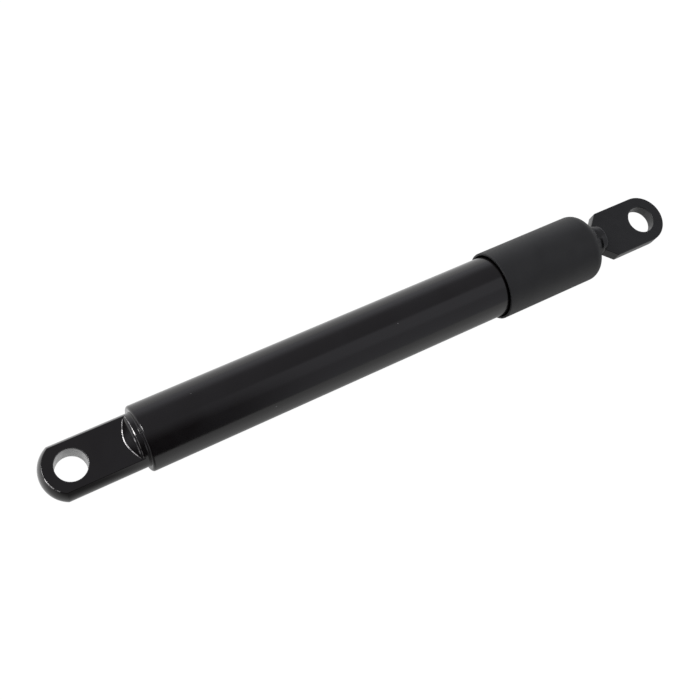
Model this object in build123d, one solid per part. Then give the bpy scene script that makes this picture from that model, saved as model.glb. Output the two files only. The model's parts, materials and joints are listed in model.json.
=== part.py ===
from build123d import *
import math
import os

"""Gas strut stay: a pressure tube with a turned eye, and a piston rod with a plate eye and a shroud.

Millimetres. The origin is the centre of the cylinder eye's bore, +X runs along the strut to the rod
eye, and +Z is the axis of both bores. The strut is modelled fully extended, as it rests unloaded.
"""

# ---- driving sizes ---------------------------------------------------------------------------
EYE_TO_EYE = 224.4  # bore centre to bore centre, fully extended
STROKE = 30.0  # how far the rod goes in

# pins and eyes
PIN_BORE_R = 5.1  # both bores take a 10 mm pin
EDGE_BREAK = 0.3  # small chamfer on cut edges

# cylinder eye: a turned bar with two milled flats
BAR_R = 9.0
BLADE_THICK = 10.0
CROWN_R = 10.0  # spherical end of the bar, about the bore's centre
BLADE_END_X = 17.0  # where the flats run out into the cone
COLLAR_X = 20.1  # where the cone reaches the bar's full radius
PLUG_LEN = 14.0
PLUG_GROOVE_W = 3.2
PLUG_GROOVE_DEPTH = 2.0

# pressure tube
TUBE_X = 22.0  # outer face of the end that is rolled in round the eye
TUBE_R = 11.0
TUBE_WALL = 1.2
TUBE_BEND_R = 1.9  # outer radius of the rolled shoulder at the eye
ROD_END_BEND_R = 3.0  # outer radius of the rolled shoulder at the rod end
BEAD_DEPTH = 0.8  # bead rolled into the rod guide's groove
BEAD_HALF_W = 1.6

# piston rod
ROD_R = 5.0
SPIGOT_R = 3.0  # threaded spigot that carries the piston
TAP_R = 3.0  # tapped hole for the rod eye's stud
TAP_DEPTH = 14.0

# rod guide and seals, from the tube's rod end inwards
DISC_THICK = 1.5
GUIDE_LEN = 12.0
WIPER_W = 2.4
WIPER_R = 7.6
BUSH_LEN = 6.0
BUSH_WALL = 1.0
SEAL_W = 4.0
SEAL_LIP_R = 7.0
SEAL_CAVITY_DEPTH = 1.6
SEAL_WASHER_THICK = 1.5

# piston
PISTON_LEN = 8.0
PISTON_RING_W = 3.0
PISTON_RING_THICK = 1.5
RING_SPLIT = 0.4
PISTON_PORT_R = 0.9
PISTON_PORT_PITCH_R = 5.6
PORTS = 4
VALVE_DISC_THICK = 0.5
VALVE_DISC_R = 8.0
PISTON_WASHER_THICK = 1.5
PISTON_WASHER_R = 7.2
BUMPER_THICK = 3.0
BUMPER_R = 8.2
NUT_THICK = 4.0
NUT_ACROSS_FLATS = 10.0
SPIGOT_PROUD = 1.0  # how far the spigot stands out of its nut

# shroud
SHROUD_WALL = 0.8
SHROUD_LEN = 42.3
SHROUD_END_THICK = 2.0
SHROUD_BEND_R = 5.0
SHROUD_OVERLAP = 7.0  # how far it covers the tube when the strut is extended
CLAMP_WASHER_R = 8.0
CLAMP_WASHER_THICK = 1.5

# rod eye: a flat plate on a round neck with a threaded stud
PLATE_THICK = 4.5
PLATE_HALF_W = 9.0
PLATE_BASE_BACK = 20.4  # bore centre back to the plate's base
PLATE_CHAMFER = 3.7
NECK_R = 5.4
NECK_LEN = 7.4
NECK_OVER_PLATE = 1.7  # how far the neck wraps the plate's base
NECK_EDGE = 0.5
STUD_LEN = 12.0

# clearances
SLIDE_GAP = 0.04  # rod in its bush
SEAL_GAP = 0.02  # lips that touch the rod
RING_GAP = 0.03  # piston ring in the tube
RING_SIDE_GAP = 0.05  # piston ring in its groove, each side
RING_BACK_GAP = 0.3  # piston ring over the groove's floor
PACK_GAP = 0.05  # parts that drop into the tube
HOLE_GAP = 0.3  # rod through plain washers and discs
SHROUD_GAP = 0.5  # shroud over the tube
STUD_HOLE_GAP = 0.1  # stud through washer and shroud
BUMPER_GAP = 0.2  # bumper to seal washer when extended
SQUEEZE_GAP = 0.01  # rubber rings in their seats

# ---- worked out ------------------------------------------------------------------------------
TUBE_BORE_R = TUBE_R - TUBE_WALL
PACK_R = TUBE_BORE_R - PACK_GAP
LIP_R = BAR_R + PACK_GAP  # rolled lip round the eye's shank

SHROUD_BORE_R = TUBE_R + SHROUD_GAP
SHROUD_R = SHROUD_BORE_R + SHROUD_WALL
PLATE_BASE_X = EYE_TO_EYE - PLATE_BASE_BACK
NECK_TOP_X = PLATE_BASE_X + NECK_OVER_PLATE
SHROUD_END_X = NECK_TOP_X - NECK_LEN
SHROUD_MOUTH_X = SHROUD_END_X - SHROUD_LEN
ROD_TOP_X = SHROUD_END_X - SHROUD_END_THICK - CLAMP_WASHER_THICK

TUBE_END_X = SHROUD_MOUTH_X + SHROUD_OVERLAP
DISC_X = TUBE_END_X - TUBE_WALL - DISC_THICK
GUIDE_X = DISC_X - GUIDE_LEN
SEAL_X = GUIDE_X - SEAL_W
SEAL_WASHER_X = SEAL_X - SEAL_WASHER_THICK
BEAD_X = DISC_X - GUIDE_LEN / 4

ROD_SHOULDER_X = SEAL_WASHER_X - BUMPER_GAP - BUMPER_THICK
VALVE_DISC_X = ROD_SHOULDER_X - PISTON_WASHER_THICK - VALVE_DISC_THICK
PISTON_X = VALVE_DISC_X - PISTON_LEN
NUT_X = PISTON_X - NUT_THICK
PLUG_X = TUBE_X + TUBE_WALL

DISC_HOLE_R = ROD_R + HOLE_GAP
STUD_HOLE_R = TAP_R + STUD_HOLE_GAP
BUSH_R = ROD_R + SLIDE_GAP + BUSH_WALL
RING_R = TUBE_BORE_R - RING_GAP
RING_BORE_R = RING_R - PISTON_RING_THICK
RING_X = PISTON_X + PISTON_LEN / 2 - PISTON_RING_W / 2

assert ROD_TOP_X - TUBE_END_X - STROKE > 0, "the rod has no room for its stroke"


# ---- helpers ---------------------------------------------------------------------------------
def turned(*corners):
    """A solid turned about the X axis from (x, radius) corners."""
    outline = Polyline(*[(x, r) for x, r in corners], close=True)
    return revolve(Plane.XY * make_face(outline), axis=Axis.X)


def turned_outline(*edges):
    """A solid turned about the X axis from joined edges of its half section."""
    return revolve(make_face(Curve() + list(edges)), axis=Axis.X)


def ring(x, length, inner, outer, edge=0.0):
    """A plain ring along X, with its outer corners chamfered by edge."""
    if edge == 0:
        return turned((x, inner), (x, outer), (x + length, outer), (x + length, inner))
    return turned(
        (x, inner),
        (x, outer - edge),
        (x + edge, outer),
        (x + length - edge, outer),
        (x + length, outer - edge),
        (x + length, inner),
    )


def rod_along_x(x, length, radius):
    """A plain round bar from x to x + length."""
    return turned((x, 0), (x, radius), (x + length, radius), (x + length, 0))


def pin_bore(x, thick):
    """The cutter for an eye's bore along Z at x, with both mouths chamfered."""
    bore = Cylinder(PIN_BORE_R, thick)
    mouth = Cone(PIN_BORE_R, PIN_BORE_R + EDGE_BREAK, EDGE_BREAK)
    shift = thick / 2 - EDGE_BREAK / 2
    top = Pos(0, 0, shift) * mouth
    bottom = Pos(0, 0, -shift) * Rot(180, 0, 0) * mouth
    return Pos(x, 0, 0) * (bore + top + bottom)


def flats(x, length, width, thick):
    """A block along X, centred on the strut's axis, to keep or cut a flat blade."""
    return Pos(x + length / 2, 0, 0) * Box(length, width, thick)


def save(node, shape):
    """One STEP file for each sub-part, named after its node."""
    shape.label = node
    export_step(shape, f"parts/{node}.step")


# ---- cylinder side ---------------------------------------------------------------------------
def cylinder_eye():
    """One turned piece: crowned blade, cone, collar, and the plug that closes the tube."""
    crowned = Sphere(CROWN_R) & rod_along_x(-CROWN_R, CROWN_R, BAR_R)
    bar = crowned + rod_along_x(0, PLUG_X, BAR_R)
    blade = bar & flats(-CROWN_R, CROWN_R + PLUG_X, 3 * BAR_R, BLADE_THICK)
    cone = turned(
        (BLADE_END_X, 0),
        (BLADE_END_X, BLADE_THICK / 2),
        (COLLAR_X, BAR_R),
        (PLUG_X, BAR_R),
        (PLUG_X, 0),
    )
    plug_end = PLUG_X + PLUG_LEN
    groove_x = PLUG_X + (PLUG_LEN - PLUG_GROOVE_W) / 2
    bend = TUBE_BEND_R - TUBE_WALL
    plug = turned(
        (PLUG_X, 0),
        (PLUG_X, PACK_R - bend),
        (PLUG_X + bend, PACK_R),
        (plug_end - EDGE_BREAK, PACK_R),
        (plug_end, PACK_R - EDGE_BREAK),
        (plug_end, 0),
    )
    groove = ring(groove_x, PLUG_GROOVE_W, PACK_R - PLUG_GROOVE_DEPTH, plug_end)
    return blade + cone + plug - groove - pin_bore(0, BLADE_THICK)


def plug_seal():
    """O-ring in the plug's groove, squeezed between the groove's floor and the tube."""
    floor_r = PACK_R - PLUG_GROOVE_DEPTH
    section_r = (TUBE_BORE_R - floor_r) / 2 - SQUEEZE_GAP
    centre = (PLUG_X + PLUG_LEN / 2, (TUBE_BORE_R + floor_r) / 2)
    return revolve(Pos(*centre) * Circle(section_r), axis=Axis.X)


def shoulder(end_x, bend_r, lip_r, side):
    """Edges of a rolled tube end, outside then inside; side is -1 at the eye, 1 at the rod end."""
    inner_bend = bend_r - TUBE_WALL
    centre_x = end_x - side * bend_r
    centre = (centre_x, TUBE_R - bend_r)
    diagonal = math.sqrt(0.5)
    outer = ThreePointArc(
        (centre_x, TUBE_R),
        (centre_x + side * bend_r * diagonal, centre[1] + bend_r * diagonal),
        (end_x, centre[1]),
    )
    inner = ThreePointArc(
        (end_x - side * TUBE_WALL, centre[1]),
        (centre_x + side * inner_bend * diagonal, centre[1] + inner_bend * diagonal),
        (centre_x, TUBE_BORE_R),
    )
    inside_x = end_x - side * TUBE_WALL
    lip = Polyline((end_x, centre[1]), (end_x, lip_r), (inside_x, lip_r), (inside_x, centre[1]))
    return outer, inner, lip


def pressure_tube():
    """Seamless tube, rolled in at both ends, with a bead that holds the rod guide."""
    left_outer, left_inner, left_lip = shoulder(TUBE_X, TUBE_BEND_R, LIP_R, -1)
    right_outer, right_inner, right_lip = shoulder(TUBE_END_X, ROD_END_BEND_R, DISC_HOLE_R + 1, 1)
    bead_outer = ThreePointArc(
        (BEAD_X - BEAD_HALF_W, TUBE_R), (BEAD_X, TUBE_R - BEAD_DEPTH), (BEAD_X + BEAD_HALF_W, TUBE_R)
    )
    bead_inner = ThreePointArc(
        (BEAD_X - BEAD_HALF_W, TUBE_BORE_R),
        (BEAD_X, TUBE_BORE_R - BEAD_DEPTH),
        (BEAD_X + BEAD_HALF_W, TUBE_BORE_R),
    )
    outside = [
        Line((TUBE_X + TUBE_BEND_R, TUBE_R), (BEAD_X - BEAD_HALF_W, TUBE_R)),
        bead_outer,
        Line((BEAD_X + BEAD_HALF_W, TUBE_R), (TUBE_END_X - ROD_END_BEND_R, TUBE_R)),
    ]
    inside = [
        Line((TUBE_X + TUBE_BEND_R, TUBE_BORE_R), (BEAD_X - BEAD_HALF_W, TUBE_BORE_R)),
        bead_inner,
        Line((BEAD_X + BEAD_HALF_W, TUBE_BORE_R), (TUBE_END_X - ROD_END_BEND_R, TUBE_BORE_R)),
    ]
    ends = [left_outer, left_inner, left_lip, right_outer, right_inner, right_lip]
    return turned_outline(*outside, *inside, *ends)


def closing_disc():
    """Steel disc that the rolled rod end bears on."""
    bend = ROD_END_BEND_R - TUBE_WALL
    into_bend = max(bend - DISC_THICK, 0)
    back_r = PACK_R - bend + math.sqrt(bend**2 - into_bend**2)
    return turned(
        (DISC_X, DISC_HOLE_R),
        (DISC_X, back_r),
        (DISC_X + DISC_THICK, PACK_R - bend),
        (DISC_X + DISC_THICK, DISC_HOLE_R),
    )


def rod_guide():
    """Guide body with a wiper seat outside, a bush seat inside, and the groove for the bead."""
    body = ring(GUIDE_X, GUIDE_LEN, DISC_HOLE_R, PACK_R, EDGE_BREAK)
    wiper_seat = ring(DISC_X - WIPER_W, WIPER_W, 0, WIPER_R)
    bush_seat = ring(GUIDE_X, BUSH_LEN, 0, BUSH_R)
    bead_w = 2 * BEAD_HALF_W + 2 * EDGE_BREAK
    bead_groove = ring(BEAD_X - bead_w / 2, bead_w, PACK_R - BEAD_DEPTH, TUBE_R)
    return body - wiper_seat - bush_seat - bead_groove


def guide_bush():
    """Plain bearing that the rod runs in."""
    return ring(GUIDE_X, BUSH_LEN, ROD_R + SLIDE_GAP, BUSH_R)


def dust_wiper():
    """Scraper ring with one sharp lip on the rod."""
    x = DISC_X - WIPER_W
    lip_w = WIPER_W / 4
    return turned(
        (x, ROD_R + HOLE_GAP),
        (x, WIPER_R),
        (DISC_X, WIPER_R),
        (DISC_X, ROD_R + HOLE_GAP),
        (DISC_X - lip_w, ROD_R + SEAL_GAP),
        (DISC_X - 2 * lip_w, ROD_R + SEAL_GAP),
    )


def rod_seal():
    """Rubber gasket with an outer lip on the tube and an inner lip on the rod."""
    heel = SEAL_X + SEAL_W
    return turned(
        (heel, DISC_HOLE_R),
        (heel, TUBE_BORE_R - SQUEEZE_GAP),
        (SEAL_X, TUBE_BORE_R - SQUEEZE_GAP),
        (SEAL_X + SEAL_CAVITY_DEPTH, SEAL_LIP_R + BUSH_WALL),
        (SEAL_X + SEAL_CAVITY_DEPTH, SEAL_LIP_R),
        (SEAL_X, ROD_R + SEAL_GAP),
        (SEAL_X + SEAL_CAVITY_DEPTH, ROD_R + SEAL_GAP),
    )


def seal_washer():
    """Steel washer that backs the seal on the gas side."""
    return ring(SEAL_WASHER_X, SEAL_WASHER_THICK, DISC_HOLE_R, PACK_R, EDGE_BREAK)


# ---- rod side --------------------------------------------------------------------------------
def piston_rod():
    """Ground rod: spigot for the piston at one end, tapped hole for the rod eye at the other."""
    spigot_x = NUT_X - SPIGOT_PROUD
    body = rod_along_x(ROD_SHOULDER_X, ROD_TOP_X - ROD_SHOULDER_X, ROD_R)
    spigot = turned(
        (spigot_x, 0),
        (spigot_x, SPIGOT_R - EDGE_BREAK),
        (spigot_x + EDGE_BREAK, SPIGOT_R),
        (ROD_SHOULDER_X, SPIGOT_R),
        (ROD_SHOULDER_X, 0),
    )
    return body + spigot - rod_along_x(ROD_TOP_X - TAP_DEPTH, TAP_DEPTH, TAP_R)


def stop_bumper():
    """Rubber ring that cushions the end of the outward stroke."""
    return ring(ROD_SHOULDER_X, BUMPER_THICK, ROD_R, BUMPER_R, EDGE_BREAK)


def piston_washer():
    """Steel washer between the rod's shoulder and the valve disc."""
    return ring(ROD_SHOULDER_X - PISTON_WASHER_THICK, PISTON_WASHER_THICK, SPIGOT_R, PISTON_WASHER_R)


def valve_disc():
    """Thin disc that lets gas through on one stroke and throttles it on the other."""
    disc = ring(VALVE_DISC_X, VALVE_DISC_THICK, SPIGOT_R, VALVE_DISC_R)
    notch = Box(2 * VALVE_DISC_THICK, 2 * PISTON_PORT_R, 2 * PISTON_PORT_R)
    return disc - Pos(VALVE_DISC_X + VALVE_DISC_THICK / 2, VALVE_DISC_R, 0) * notch


def piston_body():
    """Sintered piston with a ring groove and gas ports."""
    groove_x = RING_X - RING_SIDE_GAP
    groove_w = PISTON_RING_W + 2 * RING_SIDE_GAP
    body = ring(PISTON_X, PISTON_LEN, SPIGOT_R, RING_R - RING_SIDE_GAP, EDGE_BREAK)
    body -= ring(groove_x, groove_w, RING_BORE_R - RING_BACK_GAP, TUBE_R)
    port = rod_along_x(PISTON_X, PISTON_LEN, PISTON_PORT_R)
    for k in range(PORTS):
        body -= Rot(360 * k / PORTS, 0, 0) * Pos(0, PISTON_PORT_PITCH_R, 0) * port
    return body


def piston_nut():
    """Hexagon nut on the rod's spigot."""
    hexagon = RegularPolygon(NUT_ACROSS_FLATS / 2, 6, major_radius=False)
    nut = extrude(Plane.YZ.offset(NUT_X) * hexagon, NUT_THICK)
    return nut - rod_along_x(NUT_X, NUT_THICK, SPIGOT_R)


def piston_ring():
    """Slippery split ring that slides in the tube; the piston turns inside it."""
    band = ring(RING_X, PISTON_RING_W, RING_BORE_R, RING_R)
    split = Box(2 * PISTON_RING_W, RING_SPLIT, 3 * PISTON_RING_THICK)
    return band - Pos(RING_X + PISTON_RING_W / 2, 0, RING_R) * split


def shroud_tube():
    """Cup over the rod: open mouth over the tube, closed end clamped to the rod."""
    inner_bend = SHROUD_BEND_R - SHROUD_END_THICK
    bend_x = SHROUD_END_X - SHROUD_BEND_R
    floor_x = SHROUD_END_X - SHROUD_END_THICK
    diagonal = math.sqrt(0.5)
    inner_x = floor_x - inner_bend
    return turned_outline(
        Line((SHROUD_MOUTH_X, SHROUD_BORE_R), (SHROUD_MOUTH_X, SHROUD_R)),
        Line((SHROUD_MOUTH_X, SHROUD_R), (bend_x, SHROUD_R)),
        ThreePointArc(
            (bend_x, SHROUD_R),
            (bend_x + SHROUD_BEND_R * diagonal, SHROUD_R - SHROUD_BEND_R * (1 - diagonal)),
            (SHROUD_END_X, SHROUD_R - SHROUD_BEND_R),
        ),
        Polyline(
            (SHROUD_END_X, SHROUD_R - SHROUD_BEND_R),
            (SHROUD_END_X, STUD_HOLE_R),
            (floor_x, STUD_HOLE_R),
            (floor_x, SHROUD_BORE_R - inner_bend),
        ),
        ThreePointArc(
            (floor_x, SHROUD_BORE_R - inner_bend),
            (inner_x + inner_bend * diagonal, SHROUD_BORE_R - inner_bend * (1 - diagonal)),
            (inner_x, SHROUD_BORE_R),
        ),
        Line((inner_x, SHROUD_BORE_R), (SHROUD_MOUTH_X, SHROUD_BORE_R)),
    )


def clamp_washer():
    """Washer that spreads the rod's end face over the shroud's floor."""
    return ring(ROD_TOP_X, CLAMP_WASHER_THICK, STUD_HOLE_R, CLAMP_WASHER_R, EDGE_BREAK)


def rod_eye():
    """Flat plate with a round end and a pin bore, a round neck, and the stud that screws into the rod."""
    reach = PLATE_BASE_BACK + PLATE_HALF_W
    outline = Rectangle(PLATE_BASE_BACK, 2 * PLATE_HALF_W, align=(Align.MAX, Align.CENTER))
    outline = chamfer(outline.vertices().sort_by(Axis.X)[:2], PLATE_CHAMFER) + Circle(PLATE_HALF_W)
    plate = Pos(EYE_TO_EYE, 0, -PLATE_THICK / 2) * extrude(outline, PLATE_THICK)
    neck = turned(
        (SHROUD_END_X, 0),
        (SHROUD_END_X, NECK_R),
        (NECK_TOP_X - NECK_EDGE, NECK_R),
        (NECK_TOP_X, NECK_R - NECK_EDGE),
        (NECK_TOP_X, 0),
    )
    stud_x = SHROUD_END_X - SHROUD_END_THICK - CLAMP_WASHER_THICK - STUD_LEN
    stud = rod_along_x(stud_x, SHROUD_END_X - stud_x, TAP_R)
    return plate + neck + stud - pin_bore(EYE_TO_EYE, PLATE_THICK)


PARTS = [
    pressure_tube,
    cylinder_eye,
    plug_seal,
    closing_disc,
    dust_wiper,
    rod_guide,
    guide_bush,
    rod_seal,
    seal_washer,
    piston_ring,
    piston_rod,
    stop_bumper,
    piston_washer,
    valve_disc,
    piston_body,
    piston_nut,
    shroud_tube,
    clamp_washer,
    rod_eye,
]

os.makedirs("parts", exist_ok=True)
for part in PARTS:
    save(part.__name__, part())
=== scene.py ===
import json
import math

import bmesh
import bpy
import numpy as np
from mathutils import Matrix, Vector


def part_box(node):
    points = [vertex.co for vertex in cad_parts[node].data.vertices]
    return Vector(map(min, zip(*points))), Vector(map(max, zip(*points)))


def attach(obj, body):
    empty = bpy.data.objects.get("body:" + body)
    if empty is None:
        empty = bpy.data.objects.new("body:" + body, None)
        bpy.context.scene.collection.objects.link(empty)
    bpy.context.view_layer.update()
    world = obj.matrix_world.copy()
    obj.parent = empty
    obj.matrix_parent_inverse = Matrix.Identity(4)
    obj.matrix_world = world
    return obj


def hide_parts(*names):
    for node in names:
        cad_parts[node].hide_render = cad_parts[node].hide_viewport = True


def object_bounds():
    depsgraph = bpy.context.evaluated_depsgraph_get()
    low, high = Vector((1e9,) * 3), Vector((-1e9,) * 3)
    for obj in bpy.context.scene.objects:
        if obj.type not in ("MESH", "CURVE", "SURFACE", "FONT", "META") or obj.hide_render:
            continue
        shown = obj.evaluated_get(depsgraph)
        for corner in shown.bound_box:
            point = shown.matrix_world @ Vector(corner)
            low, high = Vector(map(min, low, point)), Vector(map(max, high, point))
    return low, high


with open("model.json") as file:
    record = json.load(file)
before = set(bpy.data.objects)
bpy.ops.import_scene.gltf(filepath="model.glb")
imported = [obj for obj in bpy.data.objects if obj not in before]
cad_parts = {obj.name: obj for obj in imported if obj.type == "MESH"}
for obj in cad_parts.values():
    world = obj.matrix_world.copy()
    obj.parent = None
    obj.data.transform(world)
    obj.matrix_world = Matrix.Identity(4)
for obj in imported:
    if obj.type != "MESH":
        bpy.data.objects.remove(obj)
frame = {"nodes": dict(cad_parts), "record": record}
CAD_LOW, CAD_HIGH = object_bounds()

# Gas strut stay. Shapes are worked out in millimetres and stored in metres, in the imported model's frame:
# +X from the cylinder eye to the rod eye, +Z along both pin bores.
MM = 0.001
TURN = 2 * math.pi
MERGE_GAP = 2e-7  # metres: points nearer than this are one point
SHORT_EDGE = 1e-8  # metres: edges shorter than this are taken out
SHARP_FROM = math.radians(38)  # edges that bend more than this are shaded sharp
AROUND, AROUND_NECK = 320, 192  # points round the tube and the shroud, and round the neck
ARC_HOLD = 0.08  # millimetres: how far from an arc the point beside it may stand
RUB_PATCHES = 700.0  # rubbed patches in a metre


def low(node):
    """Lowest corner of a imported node, in millimetres."""
    return np.array(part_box(node)[0]) / MM


def high(node):
    """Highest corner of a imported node, in millimetres."""
    return np.array(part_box(node)[1]) / MM


# ---- sizes, in millimetres -------------------------------------------------------------------
BORE_R = 5.1
BORE_EASE = 0.3  # rounding of a bore's mouths
EDGE_EASE = 0.28  # rounding of the cylinder eye's milled edges

TUBE_X, TUBE_END_X = low("pressure_tube")[0], high("pressure_tube")[0]
TUBE_R = high("pressure_tube")[2]
TUBE_WALL = 1.2
TUBE_SHOULDER = 1.9
TUBE_END_BEND = 3.0
TUBE_END_HOLE_R = 6.3
LIP_GAP = 0.05  # between the bar and the tube's rolled lip
SHOULDER_REACH, SHOULDER_DEPTH = 2.5, 2.0  # how far along and in its shoulder counts as an edge
BEAD_X = 157.3
BEAD_HALF = 1.6
BEAD_DEPTH = 0.8

CROWN_R = -low("cylinder_eye")[0]
BAR_R = 9.0
BLADE_HALF = 5.0
CONE_X, CONE_R = 17.13, 5.0  # the cone rises straight from here at CONE_SLOPE, then rounds over to the bar
CONE_SLOPE = math.radians(56)
CONE_ROUND = 1.8
CONE_FOOT_EASE = 0.45
SEAM_X, SEAM_R = 21.6, 9.3  # paint gathered where the bar enters the tube
SEAM_LEAD, SEAM_TAIL = 0.5, 0.3
SPLIT_X = 12.0  # where the blade's two ways of being worked out meet
PLUG_X = TUBE_X + TUBE_WALL
PLUG_END_X = high("cylinder_eye")[0]
PLUG_R = high("cylinder_eye")[2]
PLUG_LEAD, PLUG_END_CUT = 0.75, 0.3  # length of the slope up to the plug, and the cut at its far corner
GROOVE_FLOOR_R = PLUG_R - 2.0
GROOVE_HALF = 1.6

SHROUD_X, SHROUD_END_X = low("shroud_tube")[0], high("shroud_tube")[0]
SHROUD_R = high("shroud_tube")[2]
SHROUD_WALL = 0.8
SHROUD_FLOOR = 2.0
SHROUD_BEND = 5.0
SHROUD_HOLE_R = 3.1

PLATE_TIP_X = high("rod_eye")[0]
PLATE_HALF_W = high("rod_eye")[1]
PLATE_EYE_X = PLATE_TIP_X - PLATE_HALF_W
PLATE_HALF = 2.25
PLATE_BASE = 20.4
PLATE_CUT = 3.7
PLATE_EASE = 0.25
NECK_R = high("rod_eye")[2]
NECK_SINK = 1.7  # how far the neck runs into the plate
NECK_END_X = PLATE_EYE_X - PLATE_BASE + NECK_SINK
NECK_ROUND = 1.1
NECK_GROOVES = (1.8, 3.9)  # distances from the shroud of two shallow grooves round the neck
NECK_GROOVE_HALF, NECK_GROOVE_DEPTH = 0.85, 0.35
STUD_X = low("rod_eye")[0]
STUD_R = 3.0

# ---- where the cylinder eye's paint is rubbed to bare steel, 0 to 1; the foot, turn-over, streak and tip marks are painted highlights set as rubbed steel ---
EDGE_WEAR = 0.3  # milled edges
MOUTH_WEAR = 0.5  # bore's mouths
FOOT_WEAR_HIGHLIGHT = 0.92  # foot of the cone: a painted highlight line, set as rubbed bare steel
TURN_OVER_HIGHLIGHT = 0.85  # painted highlight line, set as rubbed bare steel, where the shoulder turns over to the bar, at a slope and within a span of it
TURN_OVER_SLOPE, TURN_OVER_SPAN = math.radians(20), math.radians(7)
STREAK_HIGHLIGHT = 0.8  # painted highlight streak below that line, set as scuffed bare steel
STREAK_SLOPE, STREAK_SPAN = math.radians(44), math.radians(12)
STREAK_SIDE = math.radians(118)  # angle about X, from +Y towards +Z
TIP_HIGHLIGHT_SIDE = math.radians(203)  # plan angle of the crowned tip's side that carries a painted highlight, set as its most rubbed bare steel
TIP_HIGHLIGHT_FOCUS = 6  # how closely the tip's painted highlight keeps to that side


# ---- shapes ----------------------------------------------------------------------------------
def grid_quads(rows, cols, wrap_rows, wrap_cols):
    """Corner numbers of the quads of a rows by cols grid; a wrapped side joins its last line to its first."""
    r = np.arange(rows if wrap_rows else rows - 1)[:, None]
    c = np.arange(cols if wrap_cols else cols - 1)[None, :]
    next_r, next_c = (r + 1) % rows, (c + 1) % cols
    quads = [r * cols + c, r * cols + next_c, next_r * cols + next_c, next_r * cols + c]
    return np.stack(quads, -1).reshape(-1, 4)


def skin(points, edge=0.0, bore=0.0, wrap_rows=False, wrap_cols=False):
    """A grid of points (rows, cols, 3) and how much each is an edge and a bore's wall, 0 to 1."""
    shape = points.shape[:2]
    return {
        "points": points,
        "edge": np.broadcast_to(edge, shape),
        "bore": np.broadcast_to(bore, shape),
        "wrap": (wrap_rows, wrap_cols),
    }


def joined_mesh(name, skins):
    """One closed mesh from grids that share borders: doubles are merged and faces turned outwards."""
    points, quads, count = [], [], 0
    for s in skins:
        rows, cols = s["points"].shape[:2]
        points.append(s["points"].reshape(-1, 3) * MM)
        quads.append(grid_quads(rows, cols, *s["wrap"]) + count)
        count += rows * cols
    mesh = bpy.data.meshes.new(name)
    mesh.from_pydata(np.concatenate(points), [], np.concatenate(quads))
    for mark in ("edge", "bore"):
        values = np.concatenate([s[mark].ravel() for s in skins]).astype(np.float32)
        mesh.attributes.new(mark, "FLOAT", "POINT").data.foreach_set("value", values)
    work = bmesh.new()
    work.from_mesh(mesh)
    bmesh.ops.remove_doubles(work, verts=work.verts, dist=MERGE_GAP)
    bmesh.ops.dissolve_degenerate(work, edges=work.edges, dist=SHORT_EDGE)
    bmesh.ops.recalc_face_normals(work, faces=work.faces)
    work.to_mesh(mesh)
    work.free()
    return mesh


def soften(corners, bends, steps):
    """A run of points whose inner corners are replaced by arcs tangent to both sides.

    corners is (count, ..., 2) and bends gives the radius at each inner corner. An arc starts
    radius / tan(half the corner's angle) from the corner and its centre lies on the bisector. It is
    made smaller where it would take more than 0.45 of its shorter side. A point is added just before
    and after each arc, so that a flat beside it stays flat when shaded.
    Returns the points (rows, ..., 2) and a mark that is 1 on the arcs.
    """
    rows, marks = [corners[0]], [np.zeros(corners[0].shape[:-1])]
    for k in range(1, len(corners) - 1):
        here = corners[k]
        back, ahead = corners[k - 1] - here, corners[k + 1] - here
        back_len = np.linalg.norm(back, axis=-1, keepdims=True)
        ahead_len = np.linalg.norm(ahead, axis=-1, keepdims=True)
        back, ahead = back / (back_len + 1e-12), ahead / (ahead_len + 1e-12)
        half = np.arccos(np.clip((back * ahead).sum(-1, keepdims=True), -1, 1)) / 2
        short = np.minimum(back_len, ahead_len)
        reach = np.minimum(bends[k - 1] / np.tan(half), 0.45 * short)
        radius = reach * np.tan(half)
        bisector = back + ahead
        bisector = bisector / (np.linalg.norm(bisector, axis=-1, keepdims=True) + 1e-12)
        centre = here + bisector * radius / np.sin(half)
        turn = math.pi - 2 * half
        side = here - centre
        side = side / (np.linalg.norm(side, axis=-1, keepdims=True) + 1e-12)
        across = (back - ahead) / (np.linalg.norm(back - ahead, axis=-1, keepdims=True) + 1e-12)
        gap = np.minimum(ARC_HOLD, 0.04 * short)
        rows.append(here + back * (reach + gap))
        marks.append(np.zeros(here.shape[:-1]))
        for f in np.linspace(0.5, -0.5, steps):
            rows.append(centre + radius * (np.cos(turn * f) * side + np.sin(turn * f) * across))
            marks.append(np.ones(here.shape[:-1]))
        rows.append(here + ahead * (reach + gap))
        marks.append(np.zeros(here.shape[:-1]))
    rows.append(corners[-1])
    marks.append(np.zeros(corners[-1].shape[:-1]))
    return np.stack(rows), np.stack(marks)


def turned(profile, around):
    """Points of a surface turned about X: a profile of (x, radius) carried round a full circle."""
    angle = np.linspace(0, TURN, around, endpoint=False)
    x = np.repeat(profile[:, :1], around, axis=1)
    return np.stack([x, profile[:, 1:] * np.cos(angle), profile[:, 1:] * np.sin(angle)], -1)


def closed_run(corners, bends, steps):
    """A closed loop with every corner softened: the run starts and ends halfway along its last side."""
    corners = np.array(corners, float)
    middle = (corners[0] + corners[-1]) / 2
    return soften(np.concatenate([[middle], corners, [middle]]), bends, steps)


def finish_piece(name, mesh, body, slot_name, material, *nodes):
    """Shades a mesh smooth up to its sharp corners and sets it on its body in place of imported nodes."""
    mesh.shade_smooth()
    mesh.set_sharp_from_angle(angle=SHARP_FROM)
    mesh.materials.clear()
    mesh.materials.append(material)
    piece = bpy.data.objects.new(name, mesh)
    bpy.context.scene.collection.objects.link(piece)
    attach(piece, body)
    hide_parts(*nodes)


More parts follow.
